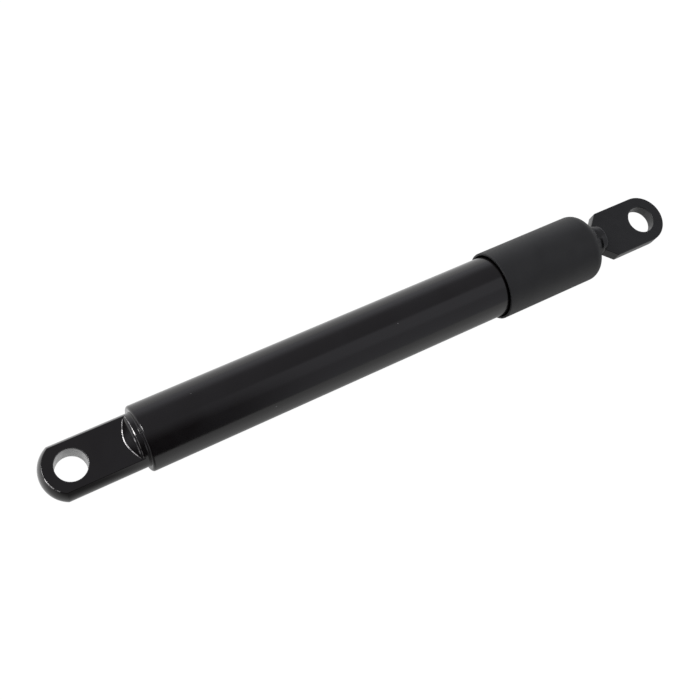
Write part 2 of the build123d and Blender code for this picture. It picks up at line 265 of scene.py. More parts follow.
# ---- cylinder eye ----------------------------------------------------------------------------
def side_reach(radius, height):
    """How far out a round side of that radius lies at a height, its edge to the flat eased.

    Below the easing it is the circle's half chord; above, a small circle of EDGE_EASE that touches
    both the big circle and the flat.
    """
    inner = BLADE_HALF - EDGE_EASE
    centre = math.sqrt((radius - EDGE_EASE) ** 2 - inner**2)
    meets = radius * inner / (radius - EDGE_EASE)
    up = np.abs(height)
    round_side = np.sqrt(np.maximum(radius**2 - height**2, 0))
    eased = centre + np.sqrt(np.maximum(EDGE_EASE**2 - (up - inner) ** 2, 0))
    return np.where(up < meets, round_side, eased)


def blade_heights():
    """Heights down the blade's side, close together round both eased edges, and the edge mark."""
    inner = BLADE_HALF - EDGE_EASE
    centre = math.sqrt((BAR_R - EDGE_EASE) ** 2 - inner**2)
    start = math.atan2(inner, centre)
    flank = BAR_R * np.sin(np.linspace(0, start, 12)[:-1])
    ease = inner + EDGE_EASE * np.sin(np.linspace(start, math.pi / 2, 9))
    up = np.concatenate([flank, ease])
    mark = np.concatenate([np.zeros(len(flank)), np.ones(len(ease))])
    return np.concatenate([-up[:0:-1], up]), np.concatenate([mark[:0:-1], mark])


def blade_rim(heights):
    """The blade's side from the split on +Y, round the crowned tip, to the split on -Y.

    Along the bar a point is (x, half chord, z). Round the tip it is the crown's half chord turned
    through a plan angle that starts where the crown meets the bar.
    """
    bar, crown = side_reach(BAR_R, heights), side_reach(CROWN_R, heights)
    meet_x = -np.sqrt(crown**2 - bar**2)
    meet_angle = np.pi - np.arcsin(bar / crown)
    share = np.append(np.linspace(0, 0.985, 12), [0.992, 1.0])[:, None]
    run_x = SPLIT_X + share * (meet_x - SPLIT_X)
    straight = np.stack([run_x, np.broadcast_to(bar, run_x.shape), np.broadcast_to(heights, run_x.shape)], -1)
    share = np.concatenate([[0.006, 0.014], np.linspace(0.03, 0.97, 70), [0.986, 0.994]])[:, None]
    angle = meet_angle + share * (TURN - 2 * meet_angle)
    tip = np.stack([crown * np.cos(angle), crown * np.sin(angle), np.broadcast_to(heights, angle.shape)], -1)
    back = straight[::-1] * np.array([1, -1, 1])
    return np.concatenate([straight, tip, back])


def rings_between(outer, inner_r, height, shares):
    """Rings on a flat from an outline in to a circle, each point on its own ray from the bore's centre."""
    angle = np.arctan2(outer[:, 1], outer[:, 0])
    inner = inner_r * np.stack([np.cos(angle), np.sin(angle)], -1)
    share = np.array(shares)[:, None, None]
    flat = outer[None] * (1 - share) + inner[None] * share
    return np.concatenate([flat, np.full(flat.shape[:2] + (1,), height)], -1)


def bore_rings(outer, half):
    """Rings down a bore of the outline's own angles: eased mouth, wall, eased mouth."""
    angle = np.arctan2(outer[:, 1], outer[:, 0])
    bend = np.linspace(math.pi / 2, 0, 7)
    mouth_r = BORE_R + BORE_EASE * (1 - np.cos(bend))
    mouth_z = half - BORE_EASE * (1 - np.sin(bend))
    wall_z = np.linspace(half - BORE_EASE, BORE_EASE - half, 9)[1:-1]
    radius = np.concatenate([mouth_r, np.full(len(wall_z), BORE_R), mouth_r[::-1]])[:, None]
    z = np.concatenate([mouth_z, wall_z, -mouth_z[::-1]])[:, None]
    edge = MOUTH_WEAR * np.concatenate([np.ones(7), np.zeros(len(wall_z)), np.ones(7)])
    bore = np.concatenate([np.linspace(0, 1, 7), np.ones(len(wall_z)), np.linspace(1, 0, 7)])
    points = np.stack([radius * np.cos(angle), radius * np.sin(angle), z + 0 * angle], -1)
    return points, edge, bore


def eye_plate(outer, half):
    """Both flats and the bore between two copies of an outline, as one grid, with its marks."""
    shares = [0, 0.02, 0.3, 0.6, 0.92]
    top = rings_between(outer, BORE_R + BORE_EASE, half, shares)
    bore, edge_mark, bore_mark = bore_rings(outer, half)
    bottom = top[::-1] * np.array([1, 1, -1])
    none = np.zeros(len(shares))
    edge = np.concatenate([none, edge_mark, none])[:, None]
    wall = np.concatenate([none, bore_mark, none])[:, None]
    return np.concatenate([top, bore, bottom]), edge, wall


def cone_run(start_r, share):
    """Points up the shoulder from a radius to the bar, with their slopes: a straight cone, then an arc.

    Distance along it is counted from (CONE_X, CONE_R). On the cone a point is that start plus distance times
    (cos, sin) of the slope. On the arc the slope falls by distance / CONE_ROUND until it is level.
    """
    centre_r = BAR_R - CONE_ROUND
    arc_r = centre_r + CONE_ROUND * math.cos(CONE_SLOPE)
    straight = (arc_r - CONE_R) / math.sin(CONE_SLOPE)
    centre_x = CONE_X + straight * math.cos(CONE_SLOPE) + CONE_ROUND * math.sin(CONE_SLOPE)
    on_arc = np.arccos(np.clip((start_r - centre_r) / CONE_ROUND, -1, 1))
    start = np.where(start_r < arc_r, (start_r - CONE_R) / math.sin(CONE_SLOPE),
                     straight + (CONE_SLOPE - on_arc) * CONE_ROUND)
    distance = start + share * (straight + CONE_SLOPE * CONE_ROUND - start)
    slope = np.clip(CONE_SLOPE - (distance - straight) / CONE_ROUND, 0, CONE_SLOPE)
    cone = CONE_X + distance * math.cos(CONE_SLOPE), CONE_R + distance * math.sin(CONE_SLOPE)
    arc = centre_x - CONE_ROUND * np.sin(slope), centre_r + CONE_ROUND * np.cos(slope)
    return np.stack(np.where(distance < straight, cone, arc), -1), slope


def eye_shank(loop, mark):
    """The cylinder eye from the split to the plug's end, as lines of constant angle about X.

    Each line keeps the blade's own radius at its angle, climbs the shoulder from where the shoulder leaves
    the blade, runs along the bar, swells a little at the tube's lip, and follows the plug and its seal
    groove to the axis. The edge mark is highest along the cone's foot and where the shoulder turns over
    to the bar, and a streak below that line is marked on one side; these marks are painted highlights,
    set as rubbed bare steel.
    """
    angle = np.arctan2(loop[:, 1], loop[:, 0])
    radius = np.minimum(np.hypot(loop[:, 0], loop[:, 1]), BAR_R)
    foot, _ = cone_run(radius, 0.0)
    first, _ = cone_run(radius, 0.3)
    split = np.stack([np.full(len(loop), SPLIT_X), radius], -1)
    root, arcs = soften(np.array([split, foot, first]), [CONE_FOOT_EASE], steps=7)
    climb, slope = cone_run(radius, np.linspace(0.34, 1.0, 30)[:, None])
    groove_x = (PLUG_X + PLUG_END_X) / 2 - GROOVE_HALF
    groove_end = groove_x + 2 * GROOVE_HALF
    corners = np.array([
        (SEAM_X - SEAM_LEAD, BAR_R),
        (SEAM_X, BAR_R),
        (TUBE_X, SEAM_R),
        (TUBE_X + SEAM_TAIL, BAR_R),
        (PLUG_X, BAR_R),
        (PLUG_X + PLUG_LEAD, PLUG_R),
        (groove_x, PLUG_R),
        (groove_x, GROOVE_FLOOR_R),
        (groove_end, GROOVE_FLOOR_R),
        (groove_end, PLUG_R),
        (PLUG_END_X - PLUG_END_CUT, PLUG_R),
        (PLUG_END_X, PLUG_R - PLUG_END_CUT),
        (PLUG_END_X, 0),
    ])
    tail, _ = soften(corners, [0.3, 0.05, 0.05, 0.1, 0.1, 0.1, 0.2, 0.2, 0.1, 0.1, 0.1], steps=5)
    tail = np.repeat(tail[:, None], len(loop), axis=1)
    run = np.concatenate([root, climb, tail])
    # Painted highlights: a line at one slope and a streak on one side, set as rubbed bare steel.
    turn_over_highlight = TURN_OVER_HIGHLIGHT * np.exp(-((slope - TURN_OVER_SLOPE) / TURN_OVER_SPAN) ** 2)
    side = np.clip(2 * np.cos(angle - STREAK_SIDE) - 1, 0, 1)
    highlight_streak = STREAK_HIGHLIGHT * side * np.exp(-((slope - STREAK_SLOPE) / STREAK_SPAN) ** 2)
    turn_over_highlights = np.maximum(turn_over_highlight, highlight_streak)
    # Painted highlight along the cone's foot, set as rubbed bare steel.
    foot_highlight = FOOT_WEAR_HIGHLIGHT * arcs * np.clip(BAR_R - radius, 0, 1)
    root_edge = np.maximum(foot_highlight, mark[None] * (1 - arcs))
    edge = np.concatenate([root_edge, turn_over_highlights, np.zeros(tail.shape[:2])])
    x, r = run[..., 0], run[..., 1]
    return np.stack([x, r * np.cos(angle), r * np.sin(angle)], -1), edge


def cylinder_eye(material):
    """Turned bar eye in one mesh: rim, flats with the bore, and the shank."""
    heights, mark = blade_heights()
    rim = blade_rim(heights)
    side = side_reach(BAR_R, heights)
    reach = math.atan2(BLADE_HALF, side[-1])
    across = BLADE_HALF / np.tan(np.linspace(reach, math.pi - reach, 90)[1:-1])
    closing = np.stack([np.full(len(across), SPLIT_X), across[::-1]], -1)
    outer = np.concatenate([rim[:, -1, :2], closing])
    flats, flat_edge, flat_bore = eye_plate(outer, BLADE_HALF)
    loop = np.concatenate([
        np.stack([side, heights], -1),
        np.stack([across, np.full(len(across), BLADE_HALF)], -1),
        np.stack([-side[::-1], heights[::-1]], -1),
        np.stack([-across, np.full(len(across), -BLADE_HALF)], -1),
    ])
    none = np.zeros(len(across))
    plan = np.arctan2(rim[..., 1], rim[..., 0])
    # The tip's most rubbed side is a painted highlight, set as bare steel on the side where light glints.
    tip_highlight = np.clip(1 - TIP_HIGHLIGHT_FOCUS * (1 - np.cos(plan - TIP_HIGHLIGHT_SIDE)), 0, 1)
    rubbed_and_tip_highlight = EDGE_WEAR + (1 - EDGE_WEAR) * tip_highlight
    shank, shank_edge = eye_shank(loop, EDGE_WEAR * np.concatenate([mark, none, mark[::-1], none]))
    mesh = joined_mesh("cylinder_eye_body", [
        skin(rim, edge=mark[None] * rubbed_and_tip_highlight),
        skin(flats, flat_edge, flat_bore, wrap_cols=True),
        skin(shank, shank_edge, wrap_cols=True),
    ])
    finish_piece("cylinder_eye_body", mesh, "cylinder", "eye_paint", material, "cylinder_eye")


# ---- pressure tube and shroud ----------------------------------------------------------------
def pressure_tube(material):
    """Tube rolled in at both ends, turned from one closed profile of its wall."""
    inner_r = TUBE_R - TUBE_WALL
    lip_r = BAR_R + LIP_GAP
    corners = [
        (TUBE_X, lip_r),
        (TUBE_X, TUBE_R),
        (BEAD_X - BEAD_HALF, TUBE_R),
        (BEAD_X, TUBE_R - BEAD_DEPTH),
        (BEAD_X + BEAD_HALF, TUBE_R),
        (TUBE_END_X, TUBE_R),
        (TUBE_END_X, TUBE_END_HOLE_R),
        (TUBE_END_X - TUBE_WALL, TUBE_END_HOLE_R),
        (TUBE_END_X - TUBE_WALL, inner_r),
        (BEAD_X + BEAD_HALF, inner_r),
        (BEAD_X, inner_r - BEAD_DEPTH),
        (BEAD_X - BEAD_HALF, inner_r),
        (TUBE_X + TUBE_WALL, inner_r),
        (TUBE_X + TUBE_WALL, lip_r),
    ]
    bends = [0.02, TUBE_SHOULDER, 0.5, 1.0, 0.5, TUBE_END_BEND, 0.2, 0.2, TUBE_END_BEND - TUBE_WALL,
             0.5, 1.0, 0.5, TUBE_SHOULDER - TUBE_WALL, 0.02]
    run, arcs = closed_run(corners, bends, steps=13)
    edge = arcs * (run[:, 0] < TUBE_X + SHOULDER_REACH) * (run[:, 1] > TUBE_R - SHOULDER_DEPTH)
    mesh = joined_mesh("pressure_tube_body", [
        skin(turned(run[:-1], AROUND), edge[:-1, None], wrap_rows=True, wrap_cols=True)
    ])
    finish_piece("pressure_tube_body", mesh, "cylinder", "tube_paint", material, "pressure_tube")


def shroud(material):
    """Cup turned from one closed profile: eased mouth, straight wall, rounded closed end with a hole."""
    bore_r = SHROUD_R - SHROUD_WALL
    floor_x = SHROUD_END_X - SHROUD_FLOOR
    corners = [
        (SHROUD_X, bore_r),
        (SHROUD_X, SHROUD_R),
        (SHROUD_END_X, SHROUD_R),
        (SHROUD_END_X, SHROUD_HOLE_R),
        (floor_x, SHROUD_HOLE_R),
        (floor_x, bore_r),
    ]
    bends = [0.2, 0.15, SHROUD_BEND, 0.15, 0.15, SHROUD_BEND - SHROUD_FLOOR]
    run, arcs = closed_run(corners, bends, steps=15)
    edge = arcs * (run[:, 0] < SHROUD_X + 1)
    mesh = joined_mesh("shroud_body", [
        skin(turned(run[:-1], AROUND), edge[:-1, None], wrap_rows=True, wrap_cols=True)
    ])
    finish_piece("shroud_body", mesh, "rod", "shroud_coat", material, "shroud_tube")


# ---- rod eye ---------------------------------------------------------------------------------
def plate_outline(inset):
    """The plate's outline drawn in by an inset, about its bore: round end, straight sides, two cut corners.

    A side moves in by the inset; a cut corner's two ends slide by inset * (root 2 - 1) along the sides.
    """
    slide = inset * (math.sqrt(2) - 1)
    half_w = PLATE_HALF_W - inset
    base = -PLATE_BASE + inset
    cut_x = -PLATE_BASE + PLATE_CUT + slide
    cut_y = PLATE_HALF_W - PLATE_CUT - slide
    upper = np.array([(0, half_w), (cut_x, half_w), (base, cut_y)])
    corners = np.concatenate([upper, upper[::-1] * np.array([1, -1])])
    run, _ = soften(corners, [0.6 - inset] * 4, steps=6)
    gaps = np.linalg.norm(np.diff(run, axis=0), axis=1)
    long_side, short_side = 9, 3  # in millimetres; anything less is a step of an arc and is not divided
    counts = [30 if g > long_side else 12 if g > short_side else 1 for g in gaps]
    shares = [np.linspace(0, 1, n, endpoint=False)[:, None] for n in counts]
    sides = [a + (b - a) * share for a, b, share in zip(run, run[1:], shares)]
    angle = np.linspace(-math.pi / 2, math.pi / 2, 90, endpoint=False)
    tip = half_w * np.stack([np.cos(angle), np.sin(angle)], -1)
    return np.concatenate([*sides, tip])


def rod_eye_plate():
    """Flat plate in one closed grid: outlines drawn in by the edge's quarter circle, flats, and the bore."""
    bend = np.linspace(0, math.pi / 2, 7)
    insets = PLATE_EASE * (1 - np.cos(bend))
    heights = PLATE_HALF - PLATE_EASE * (1 - np.sin(bend))
    outlines = [plate_outline(i) for i in insets]
    rim_top = np.stack([np.concatenate([o, np.full((len(o), 1), z)], -1) for o, z in zip(outlines, heights)])
    flats, flat_edge, flat_bore = eye_plate(outlines[-1], PLATE_HALF)
    rim_low = rim_top[::-1] * np.array([1, 1, -1])
    grid = np.concatenate([rim_top[:-1], flats, rim_low[1:]])
    ones, none = np.ones((6, 1)), np.zeros((6, 1))
    edge = np.concatenate([ones, flat_edge, ones])
    bore = np.concatenate([none, flat_bore, none])
    grid = grid + np.array([PLATE_EYE_X, 0, 0])
    return joined_mesh("rod_eye_plate", [skin(grid, edge, bore, wrap_rows=True, wrap_cols=True)])


def rod_eye_neck():
    """Round neck and stud, turned from the axis out and back to the axis."""
    groove = np.array([(-NECK_GROOVE_HALF, 0), (0, -NECK_GROOVE_DEPTH), (NECK_GROOVE_HALF, 0)])
    grooves = [groove + np.array([SHROUD_END_X + place, NECK_R]) for place in NECK_GROOVES]
    ends = [(STUD_X, 0), (STUD_X, STUD_R), (SHROUD_END_X, STUD_R), (SHROUD_END_X, NECK_R)]
    corners = np.concatenate([ends, *grooves, [(NECK_END_X, NECK_R), (NECK_END_X, 0)]])
    groove_bends = [0.5, 0.4, 0.5] * len(NECK_GROOVES)
    run, arcs = soften(corners, [0.3, 0.1, 0.25, *groove_bends, NECK_ROUND], steps=9)
    return joined_mesh("rod_eye_neck", [skin(turned(run, AROUND_NECK), arcs[:, None], wrap_cols=True)])


def rod_eye(material):
    """The plate and its neck joined into one closed mesh."""
    plate = bpy.data.objects.new("plate_work", rod_eye_plate())
    neck = bpy.data.objects.new("neck_work", rod_eye_neck())
    for work in (plate, neck):
        bpy.context.scene.collection.objects.link(work)
    union = plate.modifiers.new("union", "BOOLEAN")
    union.operation = "UNION"
    union.solver = "EXACT"
    union.object = neck
    bpy.context.view_layer.update()
    mesh = bpy.data.meshes.new_from_object(plate.evaluated_get(bpy.context.evaluated_depsgraph_get()))
    mesh.name = "rod_eye_body"
    for work in (plate, neck):
        bpy.data.objects.remove(work)
    finish_piece("rod_eye_body", mesh, "rod", "plate_steel", material, "rod_eye")


# ---- node helpers ----------------------------------------------------------------------------
def feed(tree, socket, value):
    """Joins an output to a socket, or sets the socket's own value."""
    if isinstance(value, bpy.types.NodeSocket):
        tree.links.new(value, socket)
    else:
        socket.default_value = value


def calc(tree, operation, a, b):
    """A Math node's result."""
    n = tree.nodes.new("ShaderNodeMath")
    n.operation = operation
    feed(tree, n.inputs[0], a)
    feed(tree, n.inputs[1], b)
    return n.outputs[0]


def blend(tree, share, first, second):
    """One value turning into another as the share goes from 0 to 1."""
    change = calc(tree, "MULTIPLY", share, calc(tree, "SUBTRACT", second, first))
    return calc(tree, "ADD", first, change)


def ease(tree, value, start, end, low_out=0.0, high_out=1.0):
    """Smoothly from low_out to high_out as the value goes from start to end."""
    n = tree.nodes.new("ShaderNodeMapRange")
    n.interpolation_type = "SMOOTHSTEP"
    ends = {"Value": value, "From Min": start, "From Max": end, "To Min": low_out, "To Max": high_out}
    for title, amount in ends.items():
        feed(tree, n.inputs[title], amount)
    return n.outputs["Result"]


def noise(tree, vector, scale, detail, roughness=0.5, distortion=0.0):
    """A Noise Texture's value, 0 to 1."""
    n = tree.nodes.new("ShaderNodeTexNoise")
    feed(tree, n.inputs["Vector"], vector)
    feed(tree, n.inputs["Scale"], scale)
    n.inputs["Detail"].default_value = detail
    n.inputs["Roughness"].default_value = roughness
    n.inputs["Distortion"].default_value = distortion
    return n.outputs[0]


def stretched(tree, vector, x, y, z):
    """The vector with each part multiplied."""
    n = tree.nodes.new("ShaderNodeVectorMath")
    n.operation = "MULTIPLY"
    feed(tree, n.inputs[0], vector)
    n.inputs[1].default_value = (x, y, z)
    return n.outputs[0]


def tint(tree, share, first, second):
    """One colour turning into another as the share goes from 0 to 1."""
    n = tree.nodes.new("ShaderNodeMix")
    n.data_type = "RGBA"
    feed(tree, n.inputs["Factor"], share)
    for socket, value in ((n.inputs[6], first), (n.inputs[7], second)):
        feed(tree, socket, value if isinstance(value, bpy.types.NodeSocket) else (*value, 1.0))
    return n.outputs[2]


def new_group(name, inputs, outputs):
    """An empty node group with named sockets: (name, kind, value) in, (name, kind) out."""
    tree = bpy.data.node_groups.new(name, "ShaderNodeTree")
    for title, kind, value in inputs:
        socket = tree.interface.new_socket(title, in_out="INPUT", socket_type=f"NodeSocket{kind}")
        if value is not None:
            socket.default_value = value
    for title, kind in outputs:
        tree.interface.new_socket(title, in_out="OUTPUT", socket_type=f"NodeSocket{kind}")
    return tree, tree.nodes.new("NodeGroupInput").outputs, tree.nodes.new("NodeGroupOutput").inputs


def per_mm(tree, size):
    """A texture scale for features of a size in millimetres."""
    return calc(tree, "DIVIDE", 1000.0, size)


# ---- effects that several finishes use -------------------------------------------------------
def make_paint_ripple():
    """Orange peel: two sizes of soft noise added, as a height in millimetres."""
    tree, ins, outs = new_group(
        "paint_ripple",
        [("Vector", "Vector", None), ("Size", "Float", 1.6), ("Depth", "Float", 0.004)],
        [("Height", "Float")],
    )
    scale = per_mm(tree, ins["Size"])
    fine = noise(tree, ins["Vector"], scale, 1.0)
    slow = noise(tree, ins["Vector"], calc(tree, "MULTIPLY", scale, 0.25), 1.0)
    both = calc(tree, "ADD", fine, calc(tree, "MULTIPLY", slow, 3.0))
    feed(tree, outs["Height"], calc(tree, "MULTIPLY", both, ins["Depth"]))
    return tree


def make_fine_grain():
    """Close grain of a matte or cast surface: sharp noise, as a value and a height in millimetres."""
    tree, ins, outs = new_group(
        "fine_grain",
        [("Vector", "Vector", None), ("Size", "Float", 0.2), ("Depth", "Float", 0.01)],
        [("Value", "Float"), ("Height", "Float")],
    )
    grain = noise(tree, ins["Vector"], per_mm(tree, ins["Size"]), 3.0, 0.6)
    feed(tree, outs["Value"], ease(tree, grain, 0.3, 0.7))
    feed(tree, outs["Height"], calc(tree, "MULTIPLY", grain, ins["Depth"]))
    return tree


def make_dust():
    """Sparse specks: cells whose random number is under the amount, each marked near its centre.

    Speck and Spacing are in millimetres, and a speck is 0.4 to 1.4 of its size by a second random number.
    """
    tree, ins, outs = new_group(
        "dust",
        [
            ("Vector", "Vector", None),
            ("Spacing", "Float", 2.0),
            ("Speck", "Float", 0.12),
            ("Amount", "Float", 0.1),
        ],
        [("Mask", "Float")],
    )
    cell = tree.nodes.new("ShaderNodeTexVoronoi")
    feed(tree, cell.inputs["Vector"], ins["Vector"])
    feed(tree, cell.inputs["Scale"], per_mm(tree, ins["Spacing"]))
    parts = tree.nodes.new("ShaderNodeSeparateColor")
    feed(tree, parts.inputs[0], cell.outputs["Color"])
    chosen = calc(tree, "LESS_THAN", parts.outputs[0], ins["Amount"])
    share = calc(tree, "DIVIDE", ins["Speck"], ins["Spacing"])
    size = calc(tree, "MULTIPLY", share, calc(tree, "ADD", parts.outputs[1], 0.4))
    near = ease(tree, calc(tree, "DIVIDE", cell.outputs["Distance"], size), 1.0, 0.5)
    feed(tree, outs["Mask"], calc(tree, "MULTIPLY", near, chosen))
    return tree


def make_wear_and_highlight_edge():
    """Wear on marked edges, broken up by noise: only where edge times noise is high. On the cylinder eye some
    marks are painted highlights set as wear.
    """
    tree, ins, outs = new_group(
        "wear_and_highlight_edge",
        [("Vector", "Vector", None), ("Edge", "Float", 0.0), ("Amount", "Float", 0.5)],
        [("Mask", "Float")],
    )
    patches = noise(tree, ins["Vector"], RUB_PATCHES, 4.0, 0.6)
    reach = calc(tree, "SUBTRACT", 1.0, ins["Amount"])
    wear_and_highlight_mask = ease(tree, calc(tree, "MULTIPLY", patches, ins["Edge"]), reach, calc(tree, "ADD", reach, 0.2))
    feed(tree, outs["Mask"], wear_and_highlight_mask)
    return tree


def make_turning_marks():
    """Rings left by a turning tool: noise that changes quickly along X and slowly round it, as a height."""
    tree, ins, outs = new_group(
        "turning_marks",
        [("Vector", "Vector", None), ("Pitch", "Float", 0.25), ("Depth", "Float", 0.003)],
        [("Value", "Float"), ("Height", "Float")],
    )
    lines = noise(tree, stretched(tree, ins["Vector"], 1.0, 0.02, 0.02), per_mm(tree, ins["Pitch"]), 2.0, 0.7)
    feed(tree, outs["Value"], ease(tree, lines, 0.35, 0.65))
    feed(tree, outs["Height"], calc(tree, "MULTIPLY", lines, ins["Depth"]))
    return tree


def make_cloudy():
    """Slow uneven tone, 0 to 1."""
    tree, ins, outs = new_group(
        "cloudy",
        [("Vector", "Vector", None), ("Size", "Float", 20.0)],
        [("Value", "Float")],
    )
    tone = noise(tree, ins["Vector"], per_mm(tree, ins["Size"]), 3.0, 0.55, 0.4)
    feed(tree, outs["Value"], ease(tree, tone, 0.3, 0.7))
    return tree


EFFECTS = {
    "paint_ripple": make_paint_ripple(),
    "fine_grain": make_fine_grain(),
    "dust": make_dust(),
    "wear_and_highlight_edge": make_wear_and_highlight_edge(),
    "turning_marks": make_turning_marks(),
    "cloudy": make_cloudy(),
}


class Finish:
    """A material being put together: its tree, Object coordinates and one Principled shader."""

    def __init__(self, name):
        self.material = bpy.data.materials.new(name)
        self.material.use_nodes = True
        self.tree = self.material.node_tree
        self.shader = next(n for n in self.tree.nodes if n.type == "BSDF_PRINCIPLED")
        self.where = self.tree.nodes.new("ShaderNodeTexCoord").outputs["Object"]

    def effect(self, name, **values):
        """Places a shared effect with its own values and returns its outputs."""
        n = self.tree.nodes.new("ShaderNodeGroup")
        n.node_tree = EFFECTS[name]
        feed(self.tree, n.inputs["Vector"], self.where)
        for title, value in values.items():
            feed(self.tree, n.inputs[title], value)
        return n.outputs

    def mark(self, name):
        """A mark stored on the mesh's points."""
        n = self.tree.nodes.new("ShaderNodeAttribute")
        n.attribute_name = name
        return n.outputs["Fac"]

    def set(self, **values):
        """Sets the shader's sockets, underscores standing for spaces."""
        for title, value in values.items():
            if isinstance(value, tuple):
                value = (*value, 1.0)
            feed(self.tree, self.shader.inputs[title.replace("_", " ")], value)

    def relief(self, *heights):
        """Adds heights in millimetres into one Bump node."""
        total = heights[0]
        for h in heights[1:]:
            total = calc(self.tree, "ADD", total, h)
        bump = self.tree.nodes.new("ShaderNodeBump")
        bump.inputs["Strength"].default_value = 1.0
        bump.inputs["Distance"].default_value = MM
        feed(self.tree, bump.inputs["Height"], total)
        feed(self.tree, self.shader.inputs["Normal"], bump.outputs["Normal"])


def dull_bore(f, dark, pale):
    """Gives a bore's wall a rougher, blotchy surface, from one grey to another, with its own relief."""
    tree, shader = f.tree, f.shader
    wall = f.mark("bore")
    blotch = f.effect("fine_grain", Size=1.1, Depth=0.02)
    rough = shader.inputs["Roughness"].links[0].from_socket
    dull = calc(tree, "MULTIPLY", wall, blend(tree, blotch["Value"], 0.06, 0.18))
    colour = shader.inputs["Base Color"].links[0].from_socket
    bare = tint(tree, blotch["Value"], (dark, dark, dark), (pale, pale, pale))
    f.set(Roughness=calc(tree, "ADD", rough, dull), Base_Color=tint(tree, wall, colour, bare))
    bump = next(n for n in tree.nodes if n.type == "BUMP")
    height = bump.inputs["Height"].links[0].from_socket
    lumps = calc(tree, "MULTIPLY", blotch["Height"], wall)
    feed(tree, bump.inputs["Height"], calc(tree, "ADD", height, lumps))
    return f.material


# ---- finishes --------------------------------------------------------------------------------
def gloss_paint(name, ripple, wear):
    """Gloss black paint: clouded near-black, soft ripple, dust, and bare steel where it is rubbed; on the
    cylinder eye some of that bare steel is a painted highlight.
    """
    f = Finish(name)
    tree = f.tree
    cloud = f.effect("cloudy", Size=14.0)["Value"]
    specks = f.effect("dust", Spacing=4.0, Speck=0.3, Amount=0.2)["Mask"]
    wear_and_highlight_mask = f.effect("wear_and_highlight_edge", Edge=f.mark("edge"), Amount=wear)["Mask"]
    colour = tint(tree, cloud, (0.0034, 0.0022, 0.0024), (0.0048, 0.0038, 0.0042))
    colour = tint(tree, specks, colour, (0.14, 0.14, 0.14))
    # Bare steel where rubbed; on the cylinder eye some of it is a painted highlight.
    colour = tint(tree, wear_and_highlight_mask, colour, (0.40, 0.39, 0.385))
    rough = blend(tree, cloud, 0.13, 0.18)
    rough = calc(tree, "ADD", rough, calc(tree, "MULTIPLY", calc(tree, "MAXIMUM", specks, wear_and_highlight_mask), 0.2))
    f.set(Base_Color=colour, Roughness=rough, Metallic=wear_and_highlight_mask, IOR=1.5)
    peel = f.effect("paint_ripple", Size=2.2, Depth=ripple)["Height"]
    f.relief(peel, calc(tree, "MULTIPLY", specks, 0.02), calc(tree, "MULTIPLY", wear_and_highlight_mask, -0.01))
    return f


def tube_paint():
    """The tube's gloss black paint."""
    return gloss_paint("tube_gloss_black", ripple=0.0025, wear=0.1).material


def eye_paint():
    """Gloss black paint over a turned and milled bar; the bore's wall is bare, dulled and uneven."""
    f = gloss_paint("eye_gloss_black", ripple=0.0035, wear=0.72)
    return dull_bore(f, dark=0.05, pale=0.13)


def shroud_coat():
    """Fine matte black coating with close grain."""
    f = Finish("shroud_matte_black")
    tree = f.tree
    grain = f.effect("fine_grain", Size=0.35, Depth=0.012)
    cloud = f.effect("cloudy", Size=9.0)["Value"]
    specks = f.effect("dust", Spacing=3.0, Speck=0.2, Amount=0.1)["Mask"]
    colour = tint(tree, cloud, (0.0125, 0.0125, 0.013), (0.0165, 0.0165, 0.017))
    colour = tint(tree, specks, colour, (0.09, 0.09, 0.09))
    f.set(Base_Color=colour, Roughness=blend(tree, grain["Value"], 0.5, 0.58), IOR=1.45)
    f.relief(grain["Height"])
    return f.material


def plate_finish():
    """Satin grey-black finish of the rod eye, with a fine grain and brighter rubbed edges."""
    f = Finish("plate_satin_black")
    tree = f.tree
    grain = f.effect("fine_grain", Size=0.5, Depth=0.004)
    cloud = f.effect("cloudy", Size=6.0)["Value"]
    wear_and_highlight_mask = f.effect("wear_and_highlight_edge", Edge=f.mark("edge"), Amount=0.4)["Mask"]
    specks = f.effect("dust", Spacing=3.0, Speck=0.18, Amount=0.08)["Mask"]
    colour = tint(tree, cloud, (0.008, 0.008, 0.0085), (0.012, 0.012, 0.0125))
    colour = tint(tree, wear_and_highlight_mask, colour, (0.06, 0.06, 0.062))
    colour = tint(tree, specks, colour, (0.12, 0.12, 0.12))
    f.set(Base_Color=colour, Roughness=blend(tree, grain["Value"], 0.24, 0.3), IOR=1.5)
    f.relief(grain["Height"])
    return dull_bore(f, dark=0.01, pale=0.03)


def bare_metal(name, colour, rough, marks=0.3, depth=0.003, grain=0.3):
    """Plain metal with turning marks, a close grain and a slow stain."""
    f = Finish(name)
    tree = f.tree
    lines = f.effect("turning_marks", Pitch=marks, Depth=depth)
    close = f.effect("fine_grain", Size=grain, Depth=depth)
    stain = f.effect("cloudy", Size=5.0)["Value"]
    dark = tuple(0.72 * c for c in colour)
    f.set(
        Base_Color=tint(tree, stain, dark, colour),
        Metallic=1.0,
        Roughness=blend(tree, lines["Value"], rough, rough + 0.12),
    )
    f.relief(lines["Height"], close["Height"])
    return f.material


def moulded(name, colour, rough, grain, depth):
    """Moulded plastic or rubber: slightly uneven tone, close grain and a little dust."""
    f = Finish(name)
    tree = f.tree
    close = f.effect("fine_grain", Size=grain, Depth=depth)
    tone = f.effect("cloudy", Size=4.0)["Value"]
    specks = f.effect("dust", Spacing=1.5, Speck=0.1, Amount=0.1)["Mask"]
    dark = tuple(0.75 * c for c in colour)
    dusty = tuple(c + 0.1 for c in colour)
    f.set(
        Base_Color=tint(tree, specks, tint(tree, tone, dark, colour), dusty),
        Roughness=blend(tree, close["Value"], rough, rough + 0.15),
    )
    f.relief(close["Height"])
    return f.material


# ---- the object ------------------------------------------------------------------------------
STEEL, DULL_STEEL = (0.55, 0.56, 0.58), (0.5, 0.5, 0.52)
IRON, BRONZE = (0.2, 0.2, 0.21), (0.5, 0.38, 0.2)
NYLON, FLUOROPLASTIC = (0.12, 0.12, 0.13), (0.35, 0.27, 0.18)
RUBBER = (0.02, 0.02, 0.02)

